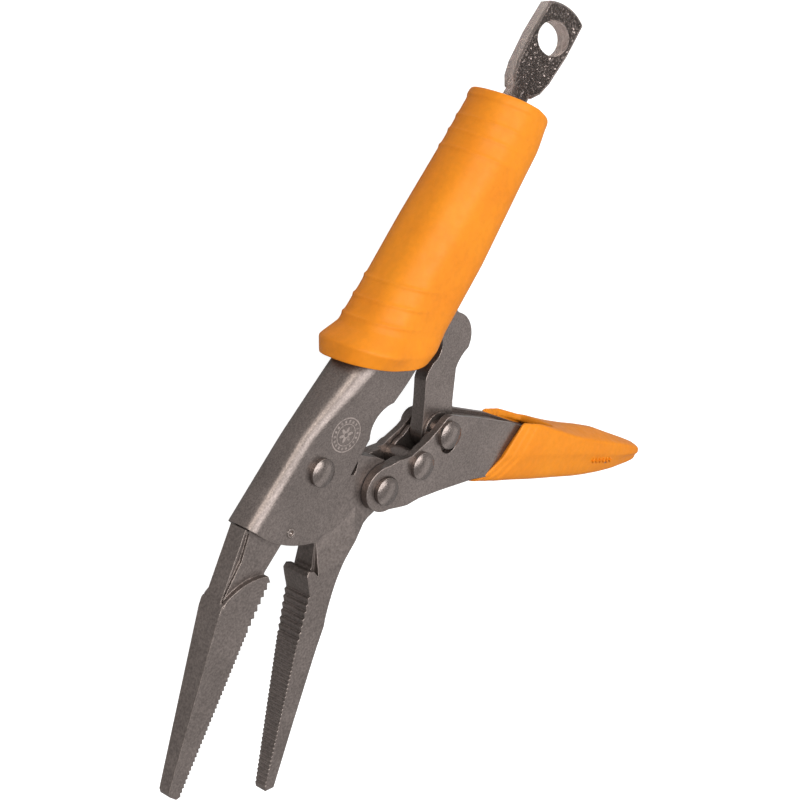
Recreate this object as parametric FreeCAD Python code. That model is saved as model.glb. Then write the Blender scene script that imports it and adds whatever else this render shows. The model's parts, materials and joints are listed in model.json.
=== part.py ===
import FreeCAD, Part
import math
import os

# Long-nose locking pliers, lying on their side with the jaws open.
# Working frame: the jaw pivot is at the origin, +X runs along the fixed handle to the
# adjusting screw, +Y points to the spine of the fixed handle, +Z up out of the side.
# Everything is moved to the middle of the footprint when it is written.

Vec = FreeCAD.Vector
Z_AXIS = Vec(0, 0, 1)
X_AXIS = Vec(1, 0, 0)

# ---- driving dimensions (mm) ----
FRAME_SHIFT = Vec(-25.60, 54.75, 11.30)

PIVOT_JAW = (0.0, 0.0)              # fixed handle to lower jaw
PIVOT_LEVER = (6.1, -25.1)          # lower jaw to lever
PIVOT_RELEASE = (17.4, -31.9)       # lever to release lever
PIVOT_LINK = (28.8, -35.6)          # lever to toggle link
LINK_NOSE = (80.0, -2.0)            # centre of the link's rounded bearing nose
LINK_NOSE_R = 3.6

SHEET = 2.15                        # steel of the fixed handle
CHEEK_OUT = 5.3                     # half width over the front cheeks
TUBE_HALF = 8.0                     # half width of the rear of the fixed handle
HANDLE_FRONT = -22.7
HANDLE_REAR = 110.0
BOSS_FRONT = 92.0                   # the rear of the handle is closed round the screw
SCREW_Y = -0.5
SCREW_R = 4.0
SCREW_FIT = 0.05
SCREW_TIP = 86.8                    # leaves room for the link's nose over its travel
THREAD_PITCH = 1.25
THREAD_DEPTH = 0.62

EYE_CENTRE = 132.8
EYE_HOLE_R = 4.8
EYE_END = 142.6
EYE_HALF_THICK = 3.0
EYE_CHAMFER = 0.6
EYE_TWIST = 22.0                    # degrees the eye plate is turned about the screw

RIVET_R = 3.0
RIVET_FIT = 0.05
DOME_R = 3.9
DOME_H = 2.1                        # height of a rivet head over the sheet
DOME_RIM = 1.2                      # straight part of that height

JAW_ROOT_HALF = 2.95                # part of both jaws that sits between the cheeks
JAW_BLOCK_HALF = 4.8                # toothed block, tapering to the tip
JAW_TIP_HALF = 1.9
GROOVE_DEPTH = 0.8                  # narrow hollow beside the back of the upper jaw
COARSE_PITCH = 2.1
COARSE_DEPTH = 1.0
FINE_PITCH = 1.25
FINE_DEPTH = 0.6

LEVER_SHEET = 2.1
LEVER_DIR = 60.0                    # degrees from the fixed handle, rest position
LEVER_FRONT_HALF = 5.3              # at the very front of the ears
LEVER_RIVET_HALF = 5.75             # over the flat spots that seat the rivet's heads
SPOT_FACE_R = 4.1
LEVER_REAR_HALF = 6.7
EAR_GAP_HALF = 3.2                  # inside the ears
EAR_LENGTH = 12.0                   # crease to the front of the ears
LINK_HALF = 2.2
RELEASE_HALF = 4.3
RELEASE_SHEET = 1.2
RELEASE_SLOT_R = 4.5                # lets the link rivet pass as the release lever tilts

JAW_PIN = (-17.5, -1.5)
JAW_PIN_R = 1.35
PUNCH_R = 0.75
SPRING_PIN = (44.0, 3.5)
SPRING_PIN_R = 1.2
SPRING_HOLE = (5.8, -13.0)          # hook hole in the tail of the lower jaw
SPRING_HOLE_R = 1.5
SPRING_R = 2.0
SPRING_WIRE_R = 0.45
LUG_CLEAR_R = 20.6                  # jaw block starts outside the sweep of the cheeks
EAR_CLEAR_R = 8.4                   # and outside the sweep of the lever's ears
RAMP_RUN = 9.0                      # over which it rises to its full width
GRIP_SLOT_HALF = 5.0
FAR = 12.0                          # past every face of the part it is used on, for through cuts


# ---- helpers ----
def vec(point, z=0.0):
    return Vec(point[0], point[1], z)


def wire(points):
    """Closed wire in XY. A pair of pairs is (middle of the arc, end of the arc)."""
    edges = []
    last = points[0]
    for item in points[1:] + [points[0]]:
        if isinstance(item[0], tuple):
            middle, end = item
            edges.append(Part.Arc(vec(last), vec(middle), vec(end)).toShape())
        else:
            end = item
            if math.dist(last, end) > 1e-6:
                edges.append(Part.LineSegment(vec(last), vec(end)).toShape())
        last = end
    return Part.Wire(edges)


def plate(points, z0, z1):
    """Solid between two heights with the given outline."""
    face = Part.Face(wire(points))
    face.translate(Vec(0, 0, z0))
    return face.extrude(Vec(0, 0, z1 - z0))


def slab(points, half):
    return plate(points, -half, half)


def disc(centre, radius, z0, z1):
    return Part.makeCylinder(radius, z1 - z0, vec(centre, z0), Z_AXIS)


def box(x0, x1, y0, y1, z0, z1):
    return Part.makeBox(x1 - x0, y1 - y0, z1 - z0, Vec(x0, y0, z0))


def teeth(start, end, pitch, depth, inward):
    """Saw-tooth points from start to end, cut to depth along the inward direction."""
    length = math.dist(start, end)
    count = max(1, round(length / pitch))
    points = []
    for i in range(count):
        root = (i + 0.35) / count
        crest = (i + 1) / count
        x = start[0] + (end[0] - start[0]) * root + inward[0] * depth
        y = start[1] + (end[1] - start[1]) * root + inward[1] * depth
        points.append((x, y))
        points.append((start[0] + (end[0] - start[0]) * crest, start[1] + (end[1] - start[1]) * crest))
    return points


def rounded(shape, radius, chosen):
    """Shape with the chosen edges rounded."""
    edges = [e for e in shape.Edges if chosen(e)]
    return shape.makeFillet(radius, edges)


def wedge(x_tip, half_tip, x_root, half_root, x_end):
    """Block that narrows towards the jaw tip, seen from above."""
    corners = [(x_tip, -half_tip), (x_root, -half_root), (x_end, -half_root),
               (x_end, half_root), (x_root, half_root), (x_tip, half_tip)]
    points = [Vec(x, -60, z) for x, z in corners]
    face = Part.Face(Part.makePolygon(points + [points[0]]))
    return face.extrude(Vec(0, 90, 0))


def dome_edge(z_rim, direction):
    """Quarter arc of a rivet head, from its rim to its top, centred on the rivet axis."""
    cap = DOME_H - DOME_RIM
    radius = (DOME_R ** 2 + cap ** 2) / (2 * cap)
    half_angle = math.asin(DOME_R / radius) / 2
    middle = Vec(radius * math.sin(half_angle), 0,
                 z_rim + direction * (cap - radius + radius * math.cos(half_angle)))
    return Part.Arc(Vec(DOME_R, 0, z_rim), middle, Vec(0, 0, z_rim + direction * cap)).toShape()


def rivet(centre, half):
    """Rivet with a low dome on both sides of a stack of the given half width."""
    rim = half + DOME_RIM
    corners = [(0, -half - DOME_H), (0, half + DOME_H)]
    sides = [(DOME_R, rim), (DOME_R, half), (RIVET_R, half),
             (RIVET_R, -half), (DOME_R, -half), (DOME_R, -rim)]
    edges = [Part.LineSegment(Vec(a[0], 0, a[1]), Vec(b[0], 0, b[1])).toShape()
             for a, b in zip(sides[:-1], sides[1:])]
    axis_edge = Part.LineSegment(Vec(0, 0, corners[0][1]), Vec(0, 0, corners[1][1])).toShape()
    outline = Part.Wire(Part.sortEdges(edges + [dome_edge(rim, 1), dome_edge(-rim, -1), axis_edge])[0])
    solid = Part.Face(outline).revolve(Vec(0, 0, 0), Z_AXIS, 360)
    solid.translate(vec(centre))
    return solid


def lever_point(s, p):
    """Point s along the lever from its pivot and p across it towards the fixed handle."""
    a = math.radians(LEVER_DIR)
    x = PIVOT_LEVER[0] + s * math.cos(a) + p * math.sin(a)
    y = PIVOT_LEVER[1] - s * math.sin(a) + p * math.cos(a)
    return (x, y)


def lever_outline(points):
    placed = []
    for item in points:
        if isinstance(item[0], tuple):
            placed.append((lever_point(*item[0]), lever_point(*item[1])))
        else:
            placed.append(lever_point(*item))
    return placed


# ---- fixed handle ----
def arch(x, half, top, corner, floor):
    """Section of the folded sheet: flat floor, straight sides, rounded crown."""
    k = corner * (1 - math.sqrt(0.5))
    corners = [(-half, floor), (-half, top - corner), (-half + k, top - k), (-half + corner, top),
               (half - corner, top), (half - k, top - k), (half, top - corner), (half, floor)]
    v = [Vec(x, y, z) for z, y in corners]
    edges = [Part.LineSegment(v[0], v[1]).toShape(), Part.Arc(v[1], v[2], v[3]).toShape(),
             Part.LineSegment(v[3], v[4]).toShape(), Part.Arc(v[4], v[5], v[6]).toShape(),
             Part.LineSegment(v[6], v[7]).toShape(), Part.LineSegment(v[7], v[0]).toShape()]
    return Part.Wire(edges)


# station x, half width, crown height, corner radius
HANDLE_STATIONS = [(HANDLE_FRONT, CHEEK_OUT, 12.5, 3.9), (2.0, CHEEK_OUT, 11.4, 3.9),
                   (8.0, 5.5, 10.8, 4.1), (15.0, 6.2, 9.8, 4.8), (22.0, 7.0, 8.8, 5.7),
                   (29.0, 7.7, 8.0, 6.8), (36.0, TUBE_HALF, 7.6, 7.2), (HANDLE_REAR, TUBE_HALF, 7.6, 7.2)]


def handle_body(wall, x_from, x_to, floor):
    """Handle pressed from one sheet, as a full block, shrunk by the wall thickness."""
    rows = []
    for i, (x, half, top, corner) in enumerate(HANDLE_STATIONS):
        if i == 0:
            x = x_from
        if i == len(HANDLE_STATIONS) - 1:
            x = x_to
        rows.append(arch(x, half - wall, top - wall, max(corner - wall, 1.2), floor))
    shoulder = Part.makeLoft(rows[1:-1], True, wall > 0)
    front = Part.makeLoft(rows[:2], True, True)
    rear = Part.makeLoft(rows[-2:], True, True)
    return front.fuse([shoulder, rear])


def handle_side():
    """Side outline that trims the cheeks: rounded nose, hollow for the lever's hump."""
    return [(HANDLE_FRONT, 13.5), (HANDLE_FRONT, 9.0), ((-21.3, -0.8), (-16.6, -10.4)),
            ((-15.9, -11.4), (-14.4, -11.9)), (-10.0, -12.0), (0.0, -11.2), (9.0, -10.2),
            (14.6, -9.5), ((20.3, -7.2), (26.0, -9.4)), (36.0, -10.0), (44.0, -11.2),
            (76.0, -11.2), (90.0, -9.2), (98.0, -8.5), (HANDLE_REAR, -8.5), (HANDLE_REAR, 13.5)]


def fixed_handle():
    outer = handle_body(0.0, HANDLE_FRONT, HANDLE_REAR, -20.0).common(slab(handle_side(), 12.0))
    inner = handle_body(SHEET, HANDLE_FRONT - 0.5, BOSS_FRONT, -25.0)
    shell = outer.cut(inner)
    bore_r = SCREW_R + SCREW_FIT
    bore = Part.makeCylinder(bore_r, 40.0, Vec(BOSS_FRONT - 10, SCREW_Y, 0), X_AXIS)
    pivot = disc(PIVOT_JAW, RIVET_R, -FAR, FAR)
    shell = shell.cut(bore).cut(pivot).cut(disc(JAW_PIN, JAW_PIN_R, -FAR, FAR))
    return shell.cut(disc(SPRING_PIN, SPRING_PIN_R, -FAR, FAR))


def jaw_pin():
    """Pin peened flush in the cheeks, with a punch mark in each end."""
    half = CHEEK_OUT + 0.15
    pin = rounded(disc(JAW_PIN, JAW_PIN_R, -half, half), 0.12, lambda e: True)
    for end in (-half, half):
        pin = pin.cut(Part.makeSphere(PUNCH_R, vec(JAW_PIN, end)))
    return pin


def spring_pin():
    half = TUBE_HALF - 1.7
    return disc(SPRING_PIN, SPRING_PIN_R, -half, half)


# ---- fixed grip ----
# station x, half width, top, bottom, corner radius
GRIP_LIP = [(26.0, 11.3, 13.0, -16.0, 9.4), (32.0, 11.2, 12.8, -15.8, 9.3),
            (35.0, 10.6, 11.0, -15.0, 8.5)]
GRIP_STATIONS = [(35.0, 10.6, 11.0, -15.0, 8.5),
                 (50.0, 10.5, 10.5, -15.2, 8.5), (70.0, 10.7, 10.5, -15.0, 8.7),
                 (95.0, 10.8, 10.2, -13.4, 9.6), (110.8, 11.3, 10.5, -12.2, 10.4)]


def pill(x, half, top, bottom, corner):
    """Rounded box section of the grip."""
    k = corner * (1 - math.sqrt(0.5))
    ring = [(-half, bottom + corner), (-half, top - corner), (-half + k, top - k), (-half + corner, top),
            (half - corner, top), (half - k, top - k), (half, top - corner), (half, bottom + corner),
            (half - k, bottom + k), (half - corner, bottom), (-half + corner, bottom), (-half + k, bottom + k)]
    v = [Vec(x, y, z) for z, y in ring]
    edges = [Part.LineSegment(v[0], v[1]).toShape(), Part.Arc(v[1], v[2], v[3]).toShape(),
             Part.LineSegment(v[3], v[4]).toShape(), Part.Arc(v[4], v[5], v[6]).toShape(),
             Part.LineSegment(v[6], v[7]).toShape(), Part.Arc(v[7], v[8], v[9]).toShape(),
             Part.LineSegment(v[9], v[10]).toShape(), Part.Arc(v[10], v[11], v[0]).toShape()]
    return Part.Wire(edges)


def fixed_grip():
    body = Part.makeLoft([pill(*row) for row in GRIP_STATIONS], True, False)
    body = body.fuse(Part.makeLoft([pill(*row) for row in GRIP_LIP], True, True))
    front = slab([(20, 20), (28.4, 20), (28.9, 10.5), (38.4, -15.0), (39.0, -20), (20, -20)], 20)
    core = handle_body(0.0, HANDLE_FRONT, HANDLE_REAR + 5, -20.0).common(slab(handle_core(), 12.0))
    slot = box(20, 88, -20, -5, -GRIP_SLOT_HALF, GRIP_SLOT_HALF)
    return body.cut(front).cut(core).cut(slot)


def handle_core():
    side = handle_side()
    return [(x + 5 if x >= HANDLE_REAR else x, y) for x, y in
            [item if not isinstance(item[0], tuple) else item[1] for item in side]]


# ---- jaws ----
def upper_jaw():
    coarse = teeth((-31.0, -4.4), (-45.0, -7.0), COARSE_PITCH, COARSE_DEPTH, (0.1, 1.0))
    fine = teeth((-45.0, -7.0), (-90.0, -17.4), FINE_PITCH, FINE_DEPTH, (0.1, 1.0))
    tip = [(-91.2, -16.6), (-91.4, -14.0), (-90.6, -12.9)]
    back = [(-45.0, 5.6), (-23.2, 11.4)]
    block = slab([(-30.0, -2.6), (-31.0, -4.4)] + coarse + fine + tip + back
                 + [(-30.0, 11.4), (-29.0, 8.0)], JAW_BLOCK_HALF)
    block = block.common(wedge(-91.6, JAW_TIP_HALF, -30.0, JAW_BLOCK_HALF, 0.0))
    ledge = slab([(-46.0, 20.0), (-46.0, 5.9), (-44.0, 6.3), ((-34.6, 2.6), (-29.9, -2.7)),
                  (0.0, -2.7), (0.0, 20.0)], FAR)
    block = block.cut(ledge)
    root = slab([(-48.0, 4.2), (-48.0, -4.0), (-31.0, -3.2), (-29.4, -2.5), (-21.0, -2.9), (-16.0, -3.3),
                 (-10.6, -1.0), (-10.6, 9.2), (-22.9, 9.8), (-22.95, 11.3), (-45.0, 5.5)],
                JAW_ROOT_HALF)
    jaw = block.fuse(root).removeSplitter()
    groove_side = [(-23.2, 9.4), (-24.2, 10.7), (-33.0, 8.2), (-43.5, 5.6), (-30.5, 6.9)]
    for z0, z1 in ((JAW_ROOT_HALF - GROOVE_DEPTH, FAR), (-FAR, GROOVE_DEPTH - JAW_ROOT_HALF)):
        jaw = jaw.cut(plate(groove_side, z0, z1))
    return jaw.cut(disc(JAW_PIN, JAW_PIN_R, -FAR, FAR))


def hollow_round(centre, radius):
    """Flat-bottomed hollow round a pivot, whose side rises gently to the face of the jaw."""
    rise = JAW_BLOCK_HALF - JAW_ROOT_HALF
    return Part.makeCone(radius, radius + RAMP_RUN, rise, vec(centre, JAW_ROOT_HALF), Z_AXIS)


def lower_jaw():
    coarse = teeth((-27.6, -19.6), (-40.2, -25.7), COARSE_PITCH, COARSE_DEPTH, (-0.4, -0.9))
    fine = teeth((-40.2, -25.7), (-77.6, -45.1), FINE_PITCH, FINE_DEPTH, (-0.45, -0.9))
    lower = [(-78.6, -46.2), (-76.6, -48.3), (-60.0, -41.7), (-40.0, -34.0), (-33.0, -31.6),
             ((-24.5, -27.6), (-15.0, -25.6)), (-4.0, -26.6), (0.5, -28.6)]
    head = [(-22.9, -19.6), (-22.4, -17.6), (-23.2, -15.8), (-24.6, -16.0), (-26.8, -18.6), (-27.6, -19.6)]
    block = slab([(-13.6, -12.8)] + head + coarse + fine + lower + [(0.5, -12.8)], JAW_BLOCK_HALF)
    block = block.common(wedge(-79.0, JAW_TIP_HALF, -26.0, JAW_BLOCK_HALF, 10.0))
    for hollow in (hollow_round(PIVOT_JAW, LUG_CLEAR_R), hollow_round(PIVOT_LEVER, EAR_CLEAR_R)):
        block = block.cut(hollow).cut(hollow.mirror(Vec(0, 0, 0), Z_AXIS))
    lug = slab([(-30.0, -24.0), (-24.0, -18.2), (-21.7, -17.6), (-16.7, -14.4), (-11.0, -10.4),
                (-4.0, -5.0), (8.0, -6.0), (9.2, -10.0), (12.3, -18.5), ((13.0, -25.2), (10.8, -30.2)),
                ((6.2, -32.0), (1.0, -30.0)), (0.5, -28.6), (-4.0, -26.6), (-15.0, -25.6),
                (-24.0, -27.4)], JAW_ROOT_HALF)
    jaw = block.fuse(lug).fuse(disc(PIVOT_JAW, 7.8, -JAW_ROOT_HALF, JAW_ROOT_HALF)).removeSplitter()
    jaw = jaw.cut(disc(PIVOT_JAW, RIVET_R + RIVET_FIT, -FAR, FAR))
    jaw = jaw.cut(disc(PIVOT_LEVER, RIVET_R + RIVET_FIT, -FAR, FAR))
    return jaw.cut(disc(SPRING_HOLE, SPRING_HOLE_R, -FAR, FAR)).cut(hook_slot())


def hook_slot():
    """Slot from the hook hole to the edge of the lug, along the spring."""
    start = vec(SPRING_HOLE, -FAR)
    slot = Part.makeBox(14, 2 * SPRING_HOLE_R, 2 * FAR, Vec(0, -SPRING_HOLE_R, 0))
    rise = SPRING_PIN[1] - SPRING_HOLE[1]
    run = SPRING_PIN[0] - SPRING_HOLE[0]
    slot.rotate(Vec(0, 0, 0), Z_AXIS, math.degrees(math.atan2(rise, run)))
    slot.translate(start)
    return slot


def jaw_spring():
    """Closed-coil tension spring between the lower jaw and the fixed handle, as a sleeve."""
    start = vec(SPRING_HOLE)
    end = vec(SPRING_PIN)
    along = (end - start).normalize()
    a = start + along * 10.0
    b = end - along * 5.0
    coil = Part.makeCylinder(SPRING_R, (b - a).Length, a, along)
    bore = Part.makeCylinder(SPRING_R - 2 * SPRING_WIRE_R, (b - a).Length, a, along)
    front = Part.makeCylinder(SPRING_WIRE_R, (a - start).Length + 0.5, start, along)
    rear = Part.makeCylinder(SPRING_WIRE_R, (end - b).Length - SPRING_PIN_R + 0.5, b - along * 0.5, along)
    caps = [Part.makeCylinder(SPRING_R, 0.9, a, along),
            Part.makeCylinder(SPRING_R, 0.9, b - along * 0.9, along)]
    spring = coil.cut(bore).fuse([front, rear] + caps)
    return spring.removeSplitter()


# ---- lever ----
LEVER_SIDE = [(-6.3, 0.0), ((-4.4, 4.5), (0.0, 6.9)), (3.0, 8.3), (7.5, 9.2), (13.8, 13.6),
              (18.0, 17.6), ((19.9, 19.3), (22.6, 19.4)), (31.6, 18.2), (48.0, 15.4), (62.0, 11.4),
              (92.0, 5.0), (95.0, 2.0), (92.0, 0.2), (70.0, -0.9), (48.0, 0.9), (34.0, 0.5),
              (20.5, -1.6), (12.8, -3.1), (8.6, -4.6), (2.0, -5.4), ((-4.4, -4.5), (-6.3, 0.0))]
CREASE_FROM = (-0.1, 30.0)
CREASE_TO = (7.5, -9.0)


def lever_cheeks():
    """Full block of the lever, with ears that slope in from the crease to the jaw."""
    block = slab(lever_outline(LEVER_SIDE), LEVER_REAR_HALF)
    for side in (1, -1):
        block = block.cut(ear_slope(side))
        ends = sorted((side * LEVER_RIVET_HALF, side * 2 * LEVER_REAR_HALF))
        block = block.cut(disc(PIVOT_LEVER, SPOT_FACE_R, *ends))
    return block


def ear_slope(side):
    """Wedge that takes the outside of one ear down from the crease to its front."""
    start = vec(lever_point(*CREASE_TO), side * LEVER_REAR_HALF)
    along = (vec(lever_point(*CREASE_FROM), side * LEVER_REAR_HALF) - start).normalize()
    forward = Vec(-along.y, along.x, 0)
    if forward.dot(vec(lever_point(-1, 0)) - vec(lever_point(0, 0))) < 0:
        forward = forward * -1
    start = start - along * 20
    drop = LEVER_REAR_HALF - LEVER_FRONT_HALF
    low = start + forward * 2 * EAR_LENGTH + Vec(0, 0, -side * 2 * drop)
    high = start + forward * 2 * EAR_LENGTH + Vec(0, 0, side * 10)
    top = start + Vec(0, 0, side * 10)
    face = Part.Face(Part.makePolygon([start, low, high, top, start]))
    return face.extrude(along * 80)


def lever_handle():
    block = lever_cheeks()
    pocket_side = lever_outline([(-12, -12), (1.5, -12), (9.5, -2.4), (13.4, -0.9), (20.9, 0.6), (34.2, 2.7),
                                 (48.0, 3.0), (70.0, 1.2), (88.0, 2.4), (88.0, 30.0), (-12, 30)])
    pocket_front = slab(pocket_side, EAR_GAP_HALF)
    behind = slab(lever_outline([(CREASE_FROM[0] + 1.4, CREASE_FROM[1]), (110, 40), (110, -40),
                                 (CREASE_TO[0] + 1.4, CREASE_TO[1])]), 20)
    pocket_rear = slab(pocket_side, LEVER_REAR_HALF - LEVER_SHEET).common(behind)
    lever = block.cut(pocket_front).cut(pocket_rear)
    for centre in (PIVOT_LEVER, PIVOT_LINK, PIVOT_RELEASE):
        lever = lever.cut(disc(centre, RIVET_R, -FAR, FAR))
    slot = (PIVOT_LINK[0] - 1.7, PIVOT_LINK[1] - 1.9)
    return lever.cut(disc(slot, RIVET_R + 0.1, -FAR, FAR))


# station s along the lever, low p, high p, half width
LEVER_GRIP = [(31.0, -1.2, 15.6, 8.8), (50.0, -1.8, 16.0, 9.2), (62.0, -2.5, 14.6, 9.1),
              (80.0, -3.4, 11.6, 8.6), (95.0, -3.1, 7.6, 7.0), (107.0, -2.0, 4.4, 4.6)]


def lever_section(s, low, high, half, corner):
    k = corner * (1 - math.sqrt(0.5))
    ring = [(-half, low + corner), (-half, high - corner), (-half + k, high - k), (-half + corner, high),
            (half - corner, high), (half - k, high - k), (half, high - corner), (half, low + corner),
            (half - k, low + k), (half - corner, low), (-half + corner, low), (-half + k, low + k)]
    v = [vec(lever_point(s, p), z) for z, p in ring]
    edges = [Part.LineSegment(v[0], v[1]).toShape(), Part.Arc(v[1], v[2], v[3]).toShape(),
             Part.LineSegment(v[3], v[4]).toShape(), Part.Arc(v[4], v[5], v[6]).toShape(),
             Part.LineSegment(v[6], v[7]).toShape(), Part.Arc(v[7], v[8], v[9]).toShape(),
             Part.LineSegment(v[9], v[10]).toShape(), Part.Arc(v[10], v[11], v[0]).toShape()]
    return Part.Wire(edges)


def lever_grip():
    rows = [lever_section(s, low, high, half, min(3.0, half * 0.4)) for s, low, high, half in LEVER_GRIP]
    rows.append(lever_section(112.0, -0.6, 2.6, 2.8, 1.0))
    body = Part.makeLoft(rows, True, True)
    front = slab(lever_outline([(20, -20), (32.5, -20), (33.5, -0.5), (38.5, 2.6), (42.5, 6.2), (48.5, 14.2),
                                (49.0, 30), (20, 30)]), 20)
    window = slab(lever_outline([(40.0, 6.0), (64.0, 4.6), (66.0, 30.0), (40.0, 30.0)]), 5.0)
    core = lever_cheeks()
    return body.cut(front).cut(core).cut(window)


def washer(side):
    """Thin washer that centres the link between the cheeks of the release lever."""
    inner = LINK_HALF + 0.1
    outer = RELEASE_HALF - RELEASE_SHEET - 0.1
    z0, z1 = (inner, outer) if side > 0 else (-outer, -inner)
    return disc(PIVOT_LINK, 5.2, z0, z1).cut(disc(PIVOT_LINK, RIVET_R, -FAR, FAR))


# ---- toggle link ----
def toggle_link():
    nose_x, nose_y = LINK_NOSE
    eye_x, eye_y = PIVOT_LINK
    side = [(eye_x - 2.9, eye_y + 4.9), (29.4, -28.3), ((33.6, -25.2), (37.4, -22.2)),
            ((40.0, -21.4), (44.0, -22.0)), ((47.2, -21.6), (50.0, -18.8)), (nose_x - 4.5, nose_y + 3.3),
            (nose_x - 1.0, nose_y + LINK_NOSE_R - 0.15),
            ((nose_x + LINK_NOSE_R, nose_y), (nose_x - 0.6, nose_y - LINK_NOSE_R)), (61.6, -14.4),
            ((58.9, -17.2), (58.2, -20.6)), ((57.2, -27.8), (52.4, -30.7)), ((49.0, -30.0), (45.6, -30.4)),
            (38.0, -35.6), (eye_x + 4.2, eye_y - 4.4), ((eye_x - 5.2, eye_y - 2.4), (eye_x - 2.9, eye_y + 4.9))]
    return slab(side, LINK_HALF).cut(disc(PIVOT_LINK, RIVET_R + RIVET_FIT, -FAR, FAR))


# ---- release lever and its spring ----
def release_lever():
    """Inverted trough inside the lever: two side plates joined by a web over the tail."""
    side = lever_outline([(9.6, 5.4), ((10.4, 9.2), (13.2, 11.6)), (17.6, 16.4), ((20.6, 18.4), (23.6, 18.2)),
                          (31.0, 17.0), (47.0, 14.6), (62.0, 10.8), (74.0, 8.6), (74.0, 7.2), (60.0, 8.2),
                          (40.0, 10.2), (27.5, 8.4), (19.0, 3.4), ((12.6, 2.4), (9.6, 5.4))])
    inside = lever_outline([(0.0, -10.0), (76.0, -10.0), (76.0, 7.4), (62.0, 9.6), (47.0, 13.4), (38.0, 14.8),
                            (37.0, 15.4), (35.0, 20.0), (0.0, 30.0)])
    body = slab(side, RELEASE_HALF).cut(slab(inside, RELEASE_HALF - RELEASE_SHEET))
    body = body.cut(disc(PIVOT_LINK, RELEASE_SLOT_R, -FAR, FAR))
    return body.cut(disc(PIVOT_RELEASE, RIVET_R + RIVET_FIT, -FAR, FAR))


def release_spring():
    """Bent leaf that pushes the release lever away from the lever's floor."""
    side = lever_outline([(54.0, 3.1), (45.0, 3.1), (38.4, 13.9), (38.9, 14.2), (45.4, 3.7), (54.0, 3.7)])
    return slab(side, 2.4)


# ---- adjusting screw ----
def screw_profile():
    """Half profile of the threaded shank with its plain end and neck."""
    points = [(SCREW_TIP, 0.0), (SCREW_TIP, 3.3), (SCREW_TIP + 0.8, SCREW_R)]
    x = SCREW_TIP + 2.0
    while x < 108.0:
        points += [(x, SCREW_R), (x + THREAD_PITCH * 0.5, SCREW_R - THREAD_DEPTH)]
        x += THREAD_PITCH
    points += [(x, SCREW_R), (112.6, SCREW_R), (113.4, 3.5), (117.5, 3.2), (120.5, 2.4), (120.5, 0.0)]
    return points


def eye_outline():
    """Flattened end of the screw: rounded base, convex sides and a shallow arc at the end."""
    side = [(115.6, 3.2), (118.2, 4.9), (122.0, 5.8), (131.0, 6.4), (140.9, 6.1)]
    other_side = [(x, -y) for x, y in reversed(side)]
    return side + [((EYE_END, 0.0), other_side[0])] + other_side[1:]


def adjusting_screw():
    points = [Vec(x, r, 0) for x, r in screw_profile()]
    shank = Part.Face(Part.makePolygon(points + [points[0]])).revolve(Vec(0, 0, 0), X_AXIS, 360)
    eye = slab(eye_outline(), EYE_HALF_THICK)
    rim = [e for e in eye.Edges if abs(abs(e.CenterOfMass.z) - EYE_HALF_THICK) < 1e-3]
    eye = eye.makeChamfer(EYE_CHAMFER, rim)
    eye = eye.cut(disc((EYE_CENTRE, 0.0), EYE_HOLE_R, -5, 5))
    screw = shank.fuse(eye).removeSplitter()
    screw.rotate(Vec(0, 0, 0), X_AXIS, -EYE_TWIST)
    screw.translate(Vec(0, SCREW_Y, 0))
    return screw


NODES = {
    "fixed_handle": fixed_handle,
    "fixed_grip": fixed_grip,
    "upper_jaw": upper_jaw,
    "upper_jaw_pin": jaw_pin,
    "jaw_pivot_rivet": lambda: rivet(PIVOT_JAW, CHEEK_OUT),
    "spring_pin": spring_pin,
    "jaw_spring": jaw_spring,
    "lower_jaw": lower_jaw,
    "lever_handle": lever_handle,
    "lever_grip": lever_grip,
    "lever_rivet": lambda: rivet(PIVOT_LEVER, LEVER_RIVET_HALF),
    "link_rivet": lambda: rivet(PIVOT_LINK, LEVER_REAR_HALF),
    "release_rivet": lambda: rivet(PIVOT_RELEASE, LEVER_REAR_HALF),
    "link_washer_near": lambda: washer(1),
    "link_washer_far": lambda: washer(-1),
    "toggle_link": toggle_link,
    "release_lever": release_lever,
    "release_spring": release_spring,
    "adjusting_screw": adjusting_screw,
}


def main():
    os.makedirs("parts", exist_ok=True)
    low, high = [1e9] * 3, [-1e9] * 3
    for name, make in NODES.items():
        shape = make()
        shape.translate(FRAME_SHIFT)
        b = shape.optimalBoundingBox(False)
        for i, (lo, hi) in enumerate(((b.XMin, b.XMax), (b.YMin, b.YMax), (b.ZMin, b.ZMax))):
            low[i], high[i] = min(low[i], lo), max(high[i], hi)
        solids = len(shape.Solids)
        print(f"{name}: {solids} solid, valid {shape.isValid()}, {shape.Volume:.0f} mm3, "
              f"x {b.XMin:.2f}..{b.XMax:.2f} y {b.YMin:.2f}..{b.YMax:.2f} z {b.ZMin:.2f}..{b.ZMax:.2f}")
        shape.exportStep(f"parts/{name}.step")
    print("overall", [round(v, 3) for v in low], [round(v, 3) for v in high])


main()
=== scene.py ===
import json
import math

import bmesh
import bpy
from mathutils import Matrix, Vector


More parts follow.
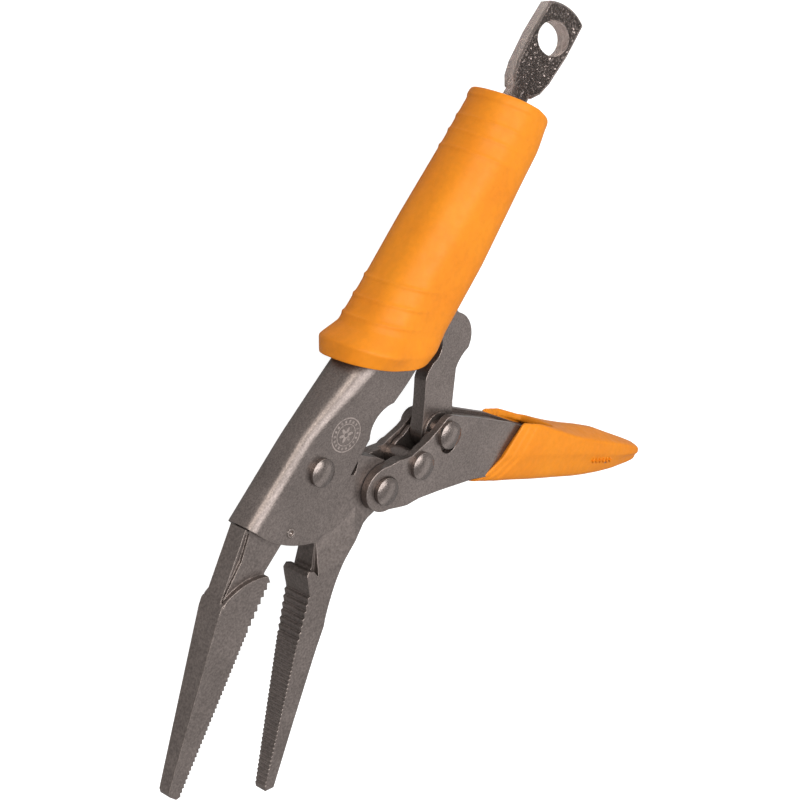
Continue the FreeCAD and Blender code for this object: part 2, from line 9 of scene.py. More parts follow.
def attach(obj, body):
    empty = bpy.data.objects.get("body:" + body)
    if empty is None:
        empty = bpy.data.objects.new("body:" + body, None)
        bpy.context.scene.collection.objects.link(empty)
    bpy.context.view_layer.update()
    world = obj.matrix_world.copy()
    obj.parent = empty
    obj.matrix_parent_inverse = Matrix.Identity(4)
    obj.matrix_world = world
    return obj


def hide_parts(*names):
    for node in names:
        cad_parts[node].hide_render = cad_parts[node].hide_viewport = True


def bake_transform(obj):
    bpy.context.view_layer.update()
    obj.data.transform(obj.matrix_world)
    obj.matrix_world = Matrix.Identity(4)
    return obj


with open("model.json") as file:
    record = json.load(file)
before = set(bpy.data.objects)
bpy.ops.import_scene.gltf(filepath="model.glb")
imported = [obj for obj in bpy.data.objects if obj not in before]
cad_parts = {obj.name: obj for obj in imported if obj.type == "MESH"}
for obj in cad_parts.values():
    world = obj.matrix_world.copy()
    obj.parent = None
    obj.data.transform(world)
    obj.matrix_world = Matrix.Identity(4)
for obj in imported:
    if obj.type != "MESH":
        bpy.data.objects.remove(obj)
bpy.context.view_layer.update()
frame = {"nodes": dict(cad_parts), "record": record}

MM = 0.001

# ---------------------------------------------------------------- places from the frame
JOINTS = {j["name"]: j for j in frame["record"]["behaviour"]["joints"]}
JAW_PIVOT = Vector(JOINTS["jaw_pivot"]["pos_m"])
LEVER_PIVOT = Vector(JOINTS["lever_pivot"]["pos_m"])
MID_Z = JAW_PIVOT.z
LEVER_DIR = math.radians(60.0)


def handle_point(x, y, z=0.0):
    """A point in millimetres from the jaw pivot, x along the handle and y to its spine."""
    return JAW_PIVOT + Vector((x, y, z)) * MM


def lever_point(s, p, z=0.0):
    """A point s along the lever from its pivot, p across it towards the fixed handle."""
    x = s * math.cos(LEVER_DIR) + p * math.sin(LEVER_DIR)
    y = -s * math.sin(LEVER_DIR) + p * math.cos(LEVER_DIR)
    return LEVER_PIVOT + Vector((x, y, z)) * MM


# ---------------------------------------------------------------- camera, in metres from the jaw pivot
CAMERA_FROM_PIVOT = Vector((-0.06775, 0.4380, 0.4106))
TARGET_FROM_PIVOT = Vector((0.0294, -0.01918, 0.0))
CAMERA_ROLL = math.radians(111.1)
CAMERA_LENS = 104.36


def make_camera():
    data = bpy.data.cameras.new("camera")
    data.sensor_width = 36.0
    data.lens = CAMERA_LENS
    data.clip_start = 0.01
    data.dof.use_dof = False
    camera = bpy.data.objects.new("camera", data)
    bpy.context.scene.collection.objects.link(camera)
    turn = (TARGET_FROM_PIVOT - CAMERA_FROM_PIVOT).to_track_quat("-Z", "Y").to_matrix().to_4x4()
    place = Matrix.Translation(JAW_PIVOT + CAMERA_FROM_PIVOT)
    camera.matrix_world = place @ turn @ Matrix.Rotation(CAMERA_ROLL, 4, "Z")
    bpy.context.scene.camera = camera


# ---------------------------------------------------------------- light and floor
WHITE = (1.0, 1.0, 1.0)
# name, place, point it faces, size, power in watts, tint
LIGHTS = [("overhead", (0.1, 0.24, 1.0), (0.0, 0.02, 0.0), (1.1, 0.7), 10.0, WHITE),
          ("rim", (0.1, 1.0, 0.75), (0.0, 0.03, 0.0), (1.2, 0.30), 7.8, (1.0, 0.96, 0.90)),
          ("front", (0.0, -0.9, 0.8), (0.0, 0.0, 0.0), (1.4, 0.6), 1.5, WHITE),
          ("side", (1.2, 0.25, 0.40), (0.0, 0.0, 0.0), (1.0, 0.30), 3.0, (1.0, 0.97, 0.93))]
WORLD_LIGHT = 0.40
FLOOR_HALF = 6.0
FLOOR_GREY = 0.35
FLOOR_ROUGH = 0.9
FLOOR_SEEN = 0.93                       # glow of the floor in the picture itself
FLOOR_BOUNCE = 0.04                     # glow of the floor as it lights and reflects in the object


def area_light(name, at, target, size, power, tint):
    data = bpy.data.lights.new(name, "AREA")
    data.shape = "RECTANGLE"
    data.size, data.size_y = size
    data.energy = power
    data.color = tint
    light = bpy.data.objects.new(name, data)
    bpy.context.scene.collection.objects.link(light)
    light.location = at
    light.rotation_euler = (Vector(target) - Vector(at)).to_track_quat("-Z", "Y").to_euler()


def floor_material():
    white = bpy.data.materials.new("floor_white")
    white.use_nodes = True
    shader = white.node_tree.nodes["Principled BSDF"]
    shader.inputs["Base Color"].default_value = (FLOOR_GREY, FLOOR_GREY, FLOOR_GREY, 1)
    shader.inputs["Roughness"].default_value = FLOOR_ROUGH
    shader.inputs["Emission Color"].default_value = (*WHITE, 1)
    path = white.node_tree.nodes.new("ShaderNodeLightPath")
    dimmed = white.node_tree.nodes.new("ShaderNodeMapRange")
    dimmed.inputs["To Min"].default_value = FLOOR_BOUNCE
    dimmed.inputs["To Max"].default_value = FLOOR_SEEN
    white.node_tree.links.new(path.outputs["Is Camera Ray"], dimmed.inputs["Value"])
    white.node_tree.links.new(dimmed.outputs["Result"], shader.inputs["Emission Strength"])
    return white


def make_stage():
    mesh = bpy.data.meshes.new("floor")
    corners = [(x * FLOOR_HALF, y * FLOOR_HALF, 0) for x, y in ((-1, -1), (1, -1), (1, 1), (-1, 1))]
    mesh.from_pydata(corners, [], [(0, 1, 2, 3)])
    floor = bpy.data.objects.new("floor", mesh)
    bpy.context.scene.collection.objects.link(floor)
    mesh.materials.append(floor_material())
    world = bpy.data.worlds.new("studio")
    world.use_nodes = True
    background = world.node_tree.nodes["Background"]
    background.inputs["Color"].default_value = (*WHITE, 1)
    background.inputs["Strength"].default_value = WORLD_LIGHT
    bpy.context.scene.world = world
    for light in LIGHTS:
        area_light(*light)
    bpy.context.scene.view_settings.view_transform = "Standard"


# ---------------------------------------------------------------- materials
class Graph:
    """Small helper around a material's nodes."""

    def __init__(self, name):
        self.mat = bpy.data.materials.new(name)
        self.mat.use_nodes = True
        self.tree = self.mat.node_tree
        self.shader = self.tree.nodes["Principled BSDF"]
        self.coords = self.tree.nodes.new("ShaderNodeTexCoord")

    def node(self, kind, **values):
        node = self.tree.nodes.new(kind)
        for key, value in values.items():
            if hasattr(node, key):
                setattr(node, key, value)
            else:
                node.inputs[key.replace("_", " ")].default_value = value
        return node

    def link(self, a, b):
        self.tree.links.new(a, b)

    def noise(self, scale, detail=4.0, rough=0.55, stretch=(1, 1, 1)):
        mapping = self.node("ShaderNodeMapping")
        mapping.inputs["Scale"].default_value = stretch
        self.link(self.coords.outputs["Object"], mapping.inputs["Vector"])
        tex = self.node("ShaderNodeTexNoise", Scale=scale, Detail=detail, Roughness=rough)
        self.link(mapping.outputs["Vector"], tex.inputs["Vector"])
        return tex.outputs["Fac"]

    def ramp(self, fac, stops):
        node = self.node("ShaderNodeValToRGB")
        ramp = node.color_ramp
        while len(ramp.elements) < len(stops):
            ramp.elements.new(0.5)
        for element, (place, colour) in zip(ramp.elements, stops):
            element.position = place
            element.color = (*colour, 1)
        self.link(fac, node.inputs["Fac"])
        return node.outputs["Color"]

    def mix(self, fac, a, b, kind="MIX"):
        """Colour between a and b; each value is a socket, a number or a colour."""
        node = self.node("ShaderNodeMix", data_type="RGBA", blend_type=kind)
        for socket, value in ((node.inputs[0], fac), (node.inputs[6], a), (node.inputs[7], b)):
            if hasattr(value, "links"):
                self.link(value, socket)
            elif isinstance(value, (int, float)):
                socket.default_value = value
            else:
                socket.default_value = (*value, 1)
        return node.outputs[2]

    def to_range(self, fac, low, high, start=0.0, end=1.0):
        node = self.node("ShaderNodeMapRange")
        node.inputs["From Min"].default_value = start
        node.inputs["From Max"].default_value = end
        node.inputs["To Min"].default_value = low
        node.inputs["To Max"].default_value = high
        self.link(fac, node.inputs["Value"])
        return node.outputs["Result"]

    def bump(self, height, strength, distance, normal=None):
        node = self.node("ShaderNodeBump")
        node.inputs["Strength"].default_value = strength
        node.inputs["Distance"].default_value = distance
        self.link(height, node.inputs["Height"])
        if normal is not None:
            self.link(normal, node.inputs["Normal"])
        return node.outputs["Normal"]

    def math(self, operation, a, b=None):
        node = self.node("ShaderNodeMath", operation=operation)
        for socket, value in ((node.inputs[0], a), (node.inputs[1], b)):
            if hasattr(value, "links"):
                self.link(value, socket)
            elif value is not None:
                socket.default_value = value
        return node.outputs[0]

    def above(self, a, b):
        return self.math("GREATER_THAN", a, b)

    def off_face(self, normal):
        """0 on faces that lie square to the given direction, 1 on the faces round them."""
        geometry = self.node("ShaderNodeNewGeometry")
        dot = self.node("ShaderNodeVectorMath", operation="DOT_PRODUCT")
        self.link(geometry.outputs["True Normal"], dot.inputs[0])
        dot.inputs[1].default_value = normal
        return self.to_range(self.math("ABSOLUTE", dot.outputs["Value"]), 1.0, 0.0, 0.5, 0.9)

    def band(self, value, low, high):
        return self.math("MULTIPLY", self.above(value, low), self.math("LESS_THAN", value, high))

    def grey_colour(self, value):
        node = self.node("ShaderNodeCombineColor")
        for socket in node.inputs[:3]:
            self.link(value, socket)
        return node.outputs[0]


STEEL_TINT = (1.19, 1.0, 0.92)


def tinted(value):
    return tuple(min(value * t, 1.0) for t in STEEL_TINT)


def soft_edges(g, radius):
    """Normal with rounded edges, and a mask that is 1 on those edges."""
    bevel = g.node("ShaderNodeBevel", samples=4)
    bevel.inputs["Radius"].default_value = radius
    geometry = g.node("ShaderNodeNewGeometry")
    dot = g.node("ShaderNodeVectorMath", operation="DOT_PRODUCT")
    g.link(bevel.outputs["Normal"], dot.inputs[0])
    g.link(geometry.outputs["True Normal"], dot.inputs[1])
    return bevel.outputs["Normal"], g.to_range(dot.outputs["Value"], 1.0, 0.0, 0.75, 0.97)


def steel(name, base, rough=(0.30, 0.44), grain=2200.0, grain_bump=0.22, blotch=0.12, metal=0.88,
          edge_width=0.0004, edge_light=2.2, pits=0.0, mark=None, flat_face=None):
    """Dark satin plating over steel: fine blasted grain, soft blotches, and edges painted brighter, partly as
    wear and partly as a painted highlight.
    """
    g = Graph(name)
    blotches = g.noise(70.0, 5.0, 0.6)
    fine = g.noise(grain, 3.0, 0.6)
    colour = g.ramp(blotches, [(0.3, tinted(base * (1 - blotch))), (0.7, tinted(base * (1 + blotch)))])
    speckle = g.to_range(fine, 0.72, 1.3, 0.3, 0.7)
    colour = g.mix(1.0, colour, g.grey_colour(speckle), "MULTIPLY")
    edge_normal, edge = soft_edges(g, edge_width)
    # Edges painted brighter, broken up by noise: partly wear, partly a painted highlight where the edges
    # catch the lamps.
    worn = g.math("MULTIPLY", edge, g.to_range(g.noise(500.0, 4.0, 0.6), 0.25, 1.0, 0.35, 0.65))
    colour = g.mix(worn, colour, tinted(base * edge_light))
    if mark is not None:
        colour = g.mix(g.math("MULTIPLY", badge_mask(g, mark), 0.75), colour, tinted(0.42))
    if pits:
        # Bright flecks on the hammered face: painted glints.
        glint_flecks = g.to_range(g.noise(1500.0, 4.0, 0.75), 0.0, 0.8, 0.54, 0.66)
        colour = g.mix(glint_flecks, colour, tinted(base * 4))
    # Faces round the flat face are painted lighter than it: a painted reflection on the eye's sides.
    if flat_face is not None:
        colour = g.mix(g.off_face(flat_face), colour, tinted(base * 3.2))
    g.link(colour, g.shader.inputs["Base Color"])
    g.shader.inputs["Metallic"].default_value = metal
    g.link(g.to_range(g.noise(260.0, 6.0, 0.65), rough[0], rough[1], 0.3, 0.7), g.shader.inputs["Roughness"])
    normal = g.bump(g.noise(160.0, 4.0, 0.6), 0.08, 0.0004, edge_normal)
    normal = g.bump(fine, grain_bump, 0.00012, normal)
    if pits:
        hammered = g.to_range(g.noise(1300.0, 4.0, 0.7), 0.0, 1.0, 0.35, 0.62)
        normal = g.bump(hammered, pits, 0.0010, normal)
    g.link(normal, g.shader.inputs["Normal"])
    return g.mat


EYE_TILT = math.radians(22.0)           # turn of the flat eye about the screw
EYE_NORMAL = (0.0, math.sin(EYE_TILT), math.cos(EYE_TILT))
BADGE_CENTRE = (11.7, -1.0)
BADGE_R = 4.9 * MM
BADGE_TICKS = 18.0
BADGE_LOBES = 6.0


def badge_mask(g, centre):
    """Plain round mark etched on the upper cheek: two rings with ticks between and a six-lobed middle."""
    split = g.node("ShaderNodeSeparateXYZ")
    g.link(g.coords.outputs["Object"], split.inputs[0])
    x = g.math("SUBTRACT", split.outputs["X"], centre.x)
    y = g.math("SUBTRACT", split.outputs["Y"], centre.y)
    squares = g.math("ADD", g.math("MULTIPLY", x, x), g.math("MULTIPLY", y, y))
    away = g.math("DIVIDE", g.math("SQRT", squares), BADGE_R)
    turn = g.math("ARCTAN2", y, x)
    outer = g.band(away, 0.93, 1.0)
    inner = g.band(away, 0.60, 0.65)
    tick_wave = g.math("SINE", g.math("MULTIPLY", turn, BADGE_TICKS))
    ticks = g.math("MULTIPLY", g.band(away, 0.70, 0.86), g.above(tick_wave, 0.25))
    lobe_wave = g.math("SINE", g.math("MULTIPLY", turn, BADGE_LOBES))
    reach = g.math("ADD", g.math("MULTIPLY", lobe_wave, 0.14), 0.32)
    middle = g.math("MULTIPLY", g.above(reach, away), g.above(away, 0.12))
    drawn = g.math("MAXIMUM", g.math("MAXIMUM", outer, inner), g.math("MAXIMUM", ticks, middle))
    worn = g.to_range(g.noise(900.0, 3.0, 0.6), 0.35, 1.0, 0.38, 0.52)
    near_side = g.above(split.outputs["Z"], MID_Z)
    return g.math("MULTIPLY", g.math("MULTIPLY", drawn, worn), near_side)


def vinyl(name):
    """Matt orange moulded vinyl with a fine leathery texture."""
    g = Graph(name)
    tone = g.ramp(g.noise(45.0, 4.0, 0.6), [(0.3, (0.62, 0.182, 0.0045)), (0.7, (0.67, 0.218, 0.0065))])
    mottle = g.to_range(g.noise(600.0, 4.0, 0.6), 0.94, 1.05, 0.3, 0.7)
    g.link(g.mix(1.0, tone, g.grey_colour(mottle), "MULTIPLY"), g.shader.inputs["Base Color"])
    g.link(g.to_range(g.noise(420.0, 5.0, 0.6), 0.42, 0.58, 0.3, 0.7), g.shader.inputs["Roughness"])
    g.shader.inputs["Specular IOR Level"].default_value = 0.26
    skin = g.bump(g.noise(900.0, 3.0, 0.55), 0.12, 0.0002)
    g.link(g.bump(g.noise(120.0, 3.0, 0.5), 0.05, 0.0006, skin), g.shader.inputs["Normal"])
    return g.mat


def make_materials():
    return {
        "handle_steel": steel("handle_steel", 0.155, grain_bump=0.34, mark=handle_point(*BADGE_CENTRE)),
        "jaw_steel": steel("jaw_steel", 0.155, rough=(0.36, 0.50), grain=1500.0, grain_bump=0.25),
        "lever_steel": steel("lever_steel", 0.17, rough=(0.26, 0.38), grain_bump=0.25),
        "rivet_steel": steel("rivet_steel", 0.19, rough=(0.17, 0.27), grain_bump=0.25,
                             edge_width=0.0003, edge_light=1.2),
        "black_nickel": steel("black_nickel", 0.16, rough=(0.16, 0.26), blotch=0.25, metal=1.0,
                              edge_width=0.0006, edge_light=4.0, pits=1.0, flat_face=EYE_NORMAL),
        "spring_steel": steel("spring_steel", 0.22, rough=(0.20, 0.30), edge_width=0.0001),
        "grip_vinyl": vinyl("grip_vinyl"),
    }


def paint(obj, material):
    obj.data.materials.clear()
    obj.data.materials.append(material)


LEVER_NODES = ("lever_handle", "toggle_link", "release_lever")


def paint_nodes(materials):
    for part in frame["record"]["subparts"]:
        kind = part["material_slot"]
        if part["node"] in LEVER_NODES:
            kind = "lever_steel"
        paint(frame["nodes"][part["node"]], materials[kind])


# ---------------------------------------------------------------- mesh pieces
def along(table, x):
    """Value at x in a table of (x, value) or (x, several values)."""
    if x <= table[0][0]:
        return table[0][1:]
    for a, b in zip(table[:-1], table[1:]):
        if x <= b[0]:
            t = (x - a[0]) / (b[0] - a[0])
            return tuple(p + (q - p) * t for p, q in zip(a[1:], b[1:]))
    return table[-1][1:]


def smooth(x, low, high):
    t = min(max((x - low) / (high - low), 0.0), 1.0)
    return t * t * (3 - 2 * t)


def bell(x, centre, width):
    return math.exp(-((x - centre) / width) ** 2)


def make_object(name, bm, material):
    bmesh.ops.recalc_face_normals(bm, faces=bm.faces)
    mesh = bpy.data.meshes.new(name)
    bm.to_mesh(mesh)
    bm.free()
    for face in mesh.polygons:
        face.use_smooth = True
    mesh.materials.append(material)
    obj = bpy.data.objects.new(name, mesh)
    bpy.context.scene.collection.objects.link(obj)
    return obj


def skin(bm, rings, keep=None):
    """Quads between closed rings of points; keep(corners) says which are wanted."""
    rows = [[bm.verts.new(p) for p in ring] for ring in rings]
    count = len(rows[0])
    for low, high in zip(rows[:-1], rows[1:]):
        for j in range(count):
            k = (j + 1) % count
            corners = (low[j], low[k], high[k], high[j])
            if keep is None or keep(corners):
                bm.faces.new(corners)
    loose = [v for v in bm.verts if not v.link_faces]
    bmesh.ops.delete(bm, geom=loose, context="VERTS")
    return rows


ROUNDING_LEVELS = 2


def thicken(obj, thickness):
    solid = obj.modifiers.new("wall", "SOLIDIFY")
    solid.thickness = thickness * MM
    solid.offset = -1.0
    solid.use_even_offset = False
    rounding = obj.modifiers.new("rounding", "SUBSURF")
    rounding.levels = ROUNDING_LEVELS
    rounding.render_levels = ROUNDING_LEVELS


# x, half width, top, bottom, corner radius of the fixed grip, in mm from the jaw pivot
GRIP_ROWS = [(26.0, 10.6, 11.1, -15.0, 8.6), (35.0, 10.6, 11.0, -15.0, 8.5), (50.0, 10.5, 10.5, -15.2, 8.5),
             (70.0, 10.7, 10.5, -15.0, 8.7), (95.0, 10.8, 10.2, -13.4, 9.6), (113.0, 11.2, 10.3, -12.4, 10.4)]
# height y, x of the front edge and x of the rear edge at that height
GRIP_ENDS = [(-16.0, 41.6, 110.6), (-12.4, 39.8, 112.2), (-9.4, 37.3, 112.9), (-6.0, 34.8, 113.0),
             (0.0, 31.5, 112.5), (6.5, 28.6, 111.2), (11.5, 26.4, 110.0)]
GRIP_WALL = 2.4
FRONT_RIBS = (12.6, 18.2, 24.0)
REAR_RIBS = (9.0, 13.5, 18.5)
GRIP_SLOT_END = 88.0
GRIP_SLOT_TOP = -11.0
GRIP_SLOT_HALF = 5.0
GRIP_PATTERN = GRIP_ROWS[2][1:]         # outline that the others are fitted from
GRIP_MIDDLE_STEPS = 12
ARC_STEPS = 6
STRAIGHT_STEP = 2.2                     # longest step along a straight side of the outline


def grip_outline(half, top, bottom, corner):
    """Rounded box section as (y, z, outward y, outward z)."""
    points = []
    corners = [(top - corner, half - corner, 90), (bottom + corner, half - corner, 0),
               (bottom + corner, -half + corner, -90), (top - corner, -half + corner, -180)]
    for y, z, start in corners:
        for i in range(ARC_STEPS + 1):
            a = math.radians(start - 90 * i / ARC_STEPS)
            points.append((y + corner * math.sin(a), z + corner * math.cos(a), math.sin(a), math.cos(a)))
    dense = []
    for a, b in zip(points, points[1:] + points[:1]):
        dense.append(a)
        parts = max(1, round(math.dist(a[:2], b[:2]) / STRAIGHT_STEP))
        dense += [tuple(p + (q - p) * i / parts for p, q in zip(a, b)) for i in range(1, parts)]
    return dense


def ramp(x, low, high):
    return min(max((x - low) / (high - low), 0.0), 1.0)


def grip_relief(from_front, to_rear, y):
    """Height of the flared front lip, the faint ribs and the rear bead above the plain grip."""
    spine = smooth(y, -4.0, 7.0)
    lip = ramp(from_front, 0.0, 4.0) * (1 - ramp(from_front, 4.6, 10.0))
    height = lip * (0.6 + 1.75 * spine) + 0.2 * ramp(from_front, 0.0, 0.4)
    for place in FRONT_RIBS:
        height += 0.42 * spine * bell(from_front, place, 0.5)
    for place in REAR_RIBS:
        height += 0.34 * spine * bell(to_rear, place, 0.5)
    height += 0.4 * spine * (1 - ramp(to_rear, 2.6, 3.2)) - 0.5 * (1 - ramp(to_rear, 0.0, 0.8))
    return height - 1.0 * (1 - spine) * (1 - smooth(to_rear, 0.0, 10.0))


def grip_stations():
    """Places along the grip as (distance from the front, share of the middle, distance to the rear)."""
    front = [0.0, 0.4, 1.2, 2.4, 3.4, 4.0, 4.6, 5.6, 7.0, 8.6, 9.6, 10.2, 11.0]
    rear = [0.0, 0.4, 0.9, 1.6, 2.5, 2.8, 3.3, 4.2, 5.6]
    for ribs, stations in ((FRONT_RIBS, front), (REAR_RIBS, rear)):
        for rib in ribs:
            stations += [rib - 1.0, rib - 0.5, rib, rib + 0.5, rib + 1.0, rib + 2.4]
    front_last, rear_last = max(front), max(rear)
    places = [(d, 0.0, None) for d in sorted(front)]
    places += [(front_last, i / GRIP_MIDDLE_STEPS, None) for i in range(1, GRIP_MIDDLE_STEPS)]
    places += [(None, 0.0, d) for d in sorted(rear, reverse=True)]
    return places, front_last, rear_last


def fit_outline(point, half, top, bottom, corner):
    """Moves a point of the pattern outline to the same place on another outline."""
    ref_half, ref_top, ref_bottom, ref_corner = GRIP_PATTERN
    y, z, out_y, out_z = point

    def shift(value, low, high, new_low, new_high, new_corner):
        if value > high - ref_corner:
            return new_high - new_corner + (value - high + ref_corner) * new_corner / ref_corner
        if value < low + ref_corner:
            return new_low + new_corner - (low + ref_corner - value) * new_corner / ref_corner
        span = (value - low - ref_corner) / (high - low - 2 * ref_corner)
        return new_low + new_corner + span * (new_high - new_low - 2 * new_corner)

    return (shift(y, ref_bottom, ref_top, bottom, top, corner),
            shift(z, -ref_half, ref_half, -half, half, corner), out_y, out_z)


def make_fixed_grip(material):
    places, front_last, rear_last = grip_stations()
    pattern = grip_outline(*GRIP_PATTERN)
    rings = []
    for from_front, share, to_rear in places:
        ring = []
        for point in pattern:
            y = point[0]
            for _ in range(3):          # x and y depend on each other
                front, rear = along(GRIP_ENDS, y)
                if to_rear is not None:
                    x = rear - to_rear
                else:
                    x = front + from_front + share * (rear - rear_last - front - front_last)
                half, top, bottom, corner = along(GRIP_ROWS, x)
                y, z, out_y, out_z = fit_outline(point, half, top, bottom, corner)
            lift = grip_relief(x - front, rear - x, y)
            ring.append(handle_point(x, y + out_y * lift, z + out_z * lift))
        rings.append(ring)
    bm = bmesh.new()
    slot_top = handle_point(0, GRIP_SLOT_TOP).y
    slot_end = handle_point(GRIP_SLOT_END, 0).x

    def keep(corners):
        middle = sum((v.co for v in corners), Vector()) / 4
        across = abs(middle.z - MID_Z) < GRIP_SLOT_HALF * MM
        return not (across and middle.y < slot_top and middle.x < slot_end)

    skin(bm, rings, keep=keep)
    obj = make_object("fixed_grip_moulding", bm, material)
    thicken(obj, GRIP_WALL)
    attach(obj, "fixed_handle")
    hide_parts("fixed_grip")


# s along the lever, half width, low edge, facet line, eaves, ridge and half width of the ridge, in mm
LEVER_ROWS = [(31.0, 8.8, -1.2, 5.6, 15.2, 15.6, 8.0), (50.0, 9.2, -1.8, 6.1, 15.5, 16.0, 8.3),
              (57.0, 9.1, -2.3, 5.8, 14.9, 15.4, 8.0), (63.0, 9.0, -2.6, 5.4, 13.1, 14.1, 7.0),
              (68.0, 8.9, -2.8, 5.0, 11.9, 12.9, 5.4), (72.4, 8.8, -3.0, 4.6, 10.7, 12.1, 3.6),
              (78.0, 8.6, -3.3, 4.0, 9.3, 11.3, 2.5), (84.0, 8.2, -3.4, 3.4, 8.1, 10.6, 2.0),
              (91.0, 7.6, -3.3, 2.5, 6.9, 9.4, 1.7), (98.0, 6.6, -3.0, 1.7, 5.6, 7.3, 1.5),
              (106.0, 5.1, -2.2, 1.0, 4.0, 5.0, 1.4), (112.4, 3.5, -1.2, 0.6, 2.2, 2.9, 1.3)]
# height p and the s of the grip's front edge at that height
LEVER_FRONT = [(-4.0, 36.0), (-1.0, 35.4), (0.6, 37.2), (2.0, 39.6), (3.5, 41.6), (6.0, 43.4), (9.0, 45.1),
               (13.0, 47.8), (15.0, 49.4), (16.2, 50.2)]
LEVER_WALL = 2.2
WINDOW_END = 65.0
LEVER_TIP = 112.4
LEVER_MIDDLE = 60.0                     # where the search for s starts
LEVER_LENGTH = 74.0                     # nominal length of the grip, for the steps behind its front edge


def lever_grip_section(half, low, facet, eaves, ridge, ridge_half):
    """Half section from the ridge round the near side to the middle of the bottom, as (p, z)."""
    deep = min(2.6, (facet - low) * 0.8)
    flat = min(ridge_half, half - 1.0)
    return [(ridge, 0.0), (ridge, flat * 0.6), (ridge - 0.1, flat),
            (eaves + (ridge - eaves) * 0.15, half - 0.5),
            (eaves - 0.5, half - 0.05), ((eaves + facet) / 2, half), (facet + 0.35, half + 0.05),
            (facet - 0.15, half - 0.35), (low + deep * 1.15, half * 0.93 - 0.45),
            (low + deep * 0.6, half * 0.88 - 0.6), (low + deep * 0.18, half * 0.72),
            (low, half * 0.5), (low, 0.0)]


TICKS = 6
TICK_FIRST = 84.6
TICK_PITCH = 1.8
TICK_OUTLINE = ((-0.3, -1.15), (0.3, -1.15), (-0.1, 1.15), (-0.7, 1.15))
TICK_PROUD = 0.12
TICK_DEPTH = 0.9


def grip_ticks(bm):
    """Row of small slanted ribs near the tip, on both sides."""
    for side in (1, -1):
        for i in range(TICKS):
            s = TICK_FIRST + TICK_PITCH * i
            half = along(LEVER_ROWS, s)[0]
            centre_p = 1.9 - 0.15 * i
            corners = [(s + ds, centre_p + dp) for ds, dp in TICK_OUTLINE]
            outer = [bm.verts.new(lever_point(a, b, side * (half + TICK_PROUD))) for a, b in corners]
            inner = [bm.verts.new(lever_point(a, b, side * (half - TICK_DEPTH))) for a, b in corners]
            bm.faces.new(outer)
            bm.faces.new(inner[::-1])
            for j in range(4):
                k = (j + 1) % 4
                bm.faces.new((outer[j], outer[k], inner[k], inner[j]))


def make_lever_grip(material):
    steps = [0.0, 0.008, 0.016, 0.03, 0.042, 0.05, 0.058, 0.07, 0.085, 0.093, 0.101, 0.115]
    steps += [0.135 + 0.0215 * i for i in range(39)] + [0.965, 0.985, 1.0]
    section_points = len(lever_grip_section(*LEVER_ROWS[0][1:]))
    rings = []
    for t in steps:
        ring = []
        for side in (1, -1):
            points = []
            for j in range(section_points):
                s = LEVER_MIDDLE
                for _ in range(4):      # s and p depend on each other
                    row = along(LEVER_ROWS, s)
                    p, z = lever_grip_section(*row)[j]
                    front = along(LEVER_FRONT, p)[0]
                    s = front + (LEVER_TIP - front) * t
                behind = (s - front) * LEVER_LENGTH / (LEVER_TIP - front)
                inset = 0.5 * (1 - ramp(behind, 0.0, 0.9)) + 0.4 * (1 - ramp(behind, 3.2, 4.4))
                inset += 0.4 * (1 - ramp(behind, 6.4, 7.6))
                tip = 1 - 0.5 * smooth(t, 0.975, 1.0)
                z = max(z - inset, 0.0) if j else 0.0
                middle = (row[1] + row[4]) / 2
                points.append(lever_point(s, middle + (p - middle) * tip, side * z * tip))
            ring += points if side == 1 else points[-2:0:-1]
        rings.append(ring)
    bm = bmesh.new()
    along_lever = lever_point(1, 0) - lever_point(0, 0)
    across = lever_point(0, 1) - lever_point(0, 0)

    def keep(corners):
        middle = sum((v.co for v in corners), Vector()) / 4 - LEVER_PIVOT
        s = middle.dot(along_lever) / MM ** 2
        p = middle.dot(across) / MM ** 2
        ridge, ridge_half = along(LEVER_ROWS, s)[4:]
        return not (s < WINDOW_END and p > ridge - 0.6 and abs(middle.z) < ridge_half * 0.9 * MM)

    rows = skin(bm, rings, keep=keep)
    bm.faces.new(rows[-1])
    grip_ticks(bm)
    obj = make_object("lever_grip_moulding", bm, material)
    thicken(obj, LEVER_WALL)
    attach(obj, "lever")
    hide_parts("lever_grip")


def nearest_turn(last, ring):
    """Ring started at the point that lines up best with the ring before."""
    count = len(ring)

    def apart(k):
        return sum((last[j] - ring[(j + k) % count]).length for j in range(count))

    best = min(range(count), key=apart)
    return [ring[(j + best) % count] for j in range(count)]


# ends of the spring: hook hole in the lower jaw and cross pin in the handle
SPRING_FRONT = (5.8, -13.0)
SPRING_REAR = (44.0, 3.5)
COIL_R = 1.55
WIRE_R = 0.43
COIL_PITCH = 0.92
COIL_START = 10.0                       # from the front hook
COIL_END = 5.0                          # before the rear hook
FRONT_HOOK_R = 1.0
REAR_HOOK_R = 1.7
TURN_STEPS = 14
WIRE_SIDES = 8


def spring_path():
    """Points of the wire as (distance from the front hook, across, up), in mm."""
    length = math.dist(SPRING_FRONT, SPRING_REAR)
    turns = round((length - COIL_END - COIL_START) / COIL_PITCH)
    points = [(FRONT_HOOK_R * math.cos(a), FRONT_HOOK_R * math.sin(a), 0.0)
              for a in (-2.2, -2.9, -3.6, -4.3, -5.0)]
    points += [(1.6, 0.2, 0.0), (3.0, 0.0, 0.0), (6.0, 0.0, 0.0), (COIL_START - 1.6, 0.0, 0.0),
               (COIL_START - 0.7, 0.0, 0.9)]
    for i in range(turns * TURN_STEPS + 1):
        a = 2 * math.pi * i / TURN_STEPS
        points.append((COIL_START + COIL_PITCH * i / TURN_STEPS, COIL_R * math.sin(a), COIL_R * math.cos(a)))
    end = COIL_START + COIL_PITCH * turns
    points += [(end + 0.7, 0.0, 0.9), (end + 1.5, 0.0, 0.0)]
    points += [(length + REAR_HOOK_R * math.cos(a), REAR_HOOK_R * math.sin(a), 0.0)
               for a in (2.6, 2.0, 1.2, 0.4, -0.4, -1.2, -2.0)]
    return points


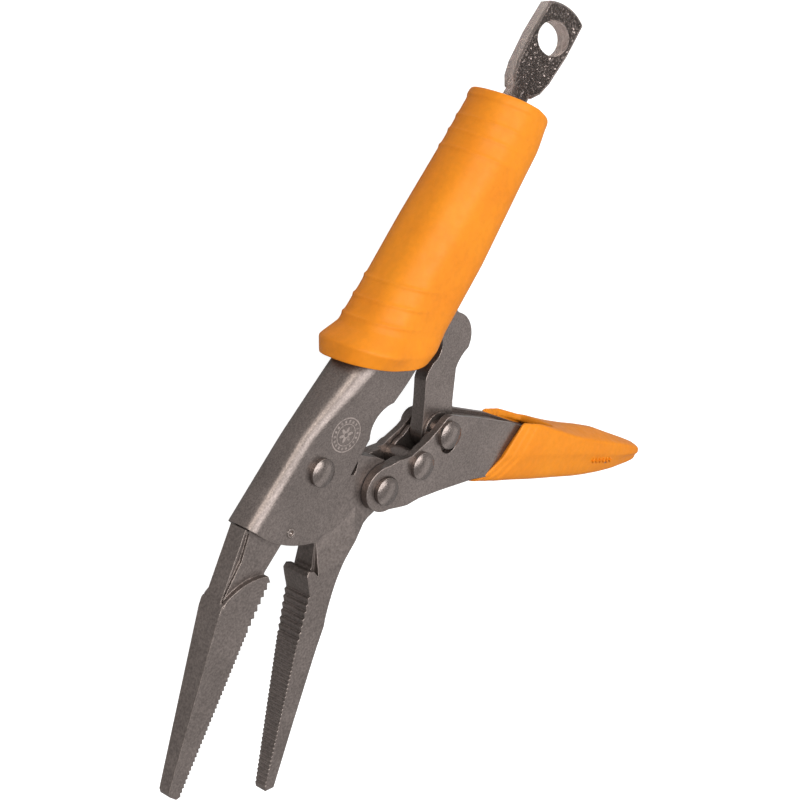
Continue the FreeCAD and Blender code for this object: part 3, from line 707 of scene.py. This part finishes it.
def make_jaw_spring(material):
    front, rear = handle_point(*SPRING_FRONT), handle_point(*SPRING_REAR)
    forward = (rear - front).normalized()
    up = Vector((0, 0, 1))
    across = up.cross(forward)
    points = [front + (forward * a + across * b + up * c) * MM for a, b, c in spring_path()]
    bm = bmesh.new()
    rings = []
    for i, point in enumerate(points):
        heading = (points[min(i + 1, len(points) - 1)] - points[max(i - 1, 0)]).normalized()
        side = heading.cross(forward)
        if side.length < 0.05:
            side = heading.cross(across)
        side.normalize()
        other = heading.cross(side)
        ring = []
        for k in range(WIRE_SIDES):
            a = 2 * math.pi * k / WIRE_SIDES
            ring.append(point + (side * math.cos(a) + other * math.sin(a)) * WIRE_R * MM)
        if rings:
            ring = nearest_turn(rings[-1], ring)
        rings.append(ring)
    rows = skin(bm, rings)
    bm.faces.new(rows[0])
    bm.faces.new(rows[-1])
    obj = make_object("jaw_spring_coil", bm, material)
    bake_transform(obj)
    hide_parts("jaw_spring")


# middle line of the leaf between the lever's floor and the release lever, as (s, p)
LEAF = [(54.0, 3.4), (51.0, 3.4), (48.0, 3.4), (46.0, 3.42), (45.1, 3.7),
        (44.4, 4.7), (43.2, 6.6), (41.8, 8.8), (40.3, 11.2), (38.8, 13.65)]
LEAF_HALF_WIDTH = 2.4
LEAF_HALF_THICK = 0.3


def make_release_spring(material):
    bm = bmesh.new()
    rings = []
    for i, (s, p) in enumerate(LEAF):
        before, after = LEAF[max(i - 1, 0)], LEAF[min(i + 1, len(LEAF) - 1)]
        run, rise = after[0] - before[0], after[1] - before[1]
        length = math.hypot(run, rise)
        ds, dp = -rise / length * LEAF_HALF_THICK, run / length * LEAF_HALF_THICK
        rings.append([lever_point(s + a * ds, p + a * dp, b * LEAF_HALF_WIDTH)
                      for a, b in ((1, 1), (1, -1), (-1, -1), (-1, 1))])
    rows = skin(bm, rings)
    bm.faces.new(rows[0])
    bm.faces.new(rows[-1])
    obj = make_object("release_spring_leaf", bm, material)
    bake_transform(obj)
    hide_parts("release_spring")


make_camera()
make_stage()
MATERIALS = make_materials()
paint_nodes(MATERIALS)
make_fixed_grip(MATERIALS["grip_vinyl"])
make_lever_grip(MATERIALS["grip_vinyl"])
make_jaw_spring(MATERIALS["spring_steel"])
make_release_spring(MATERIALS["spring_steel"])
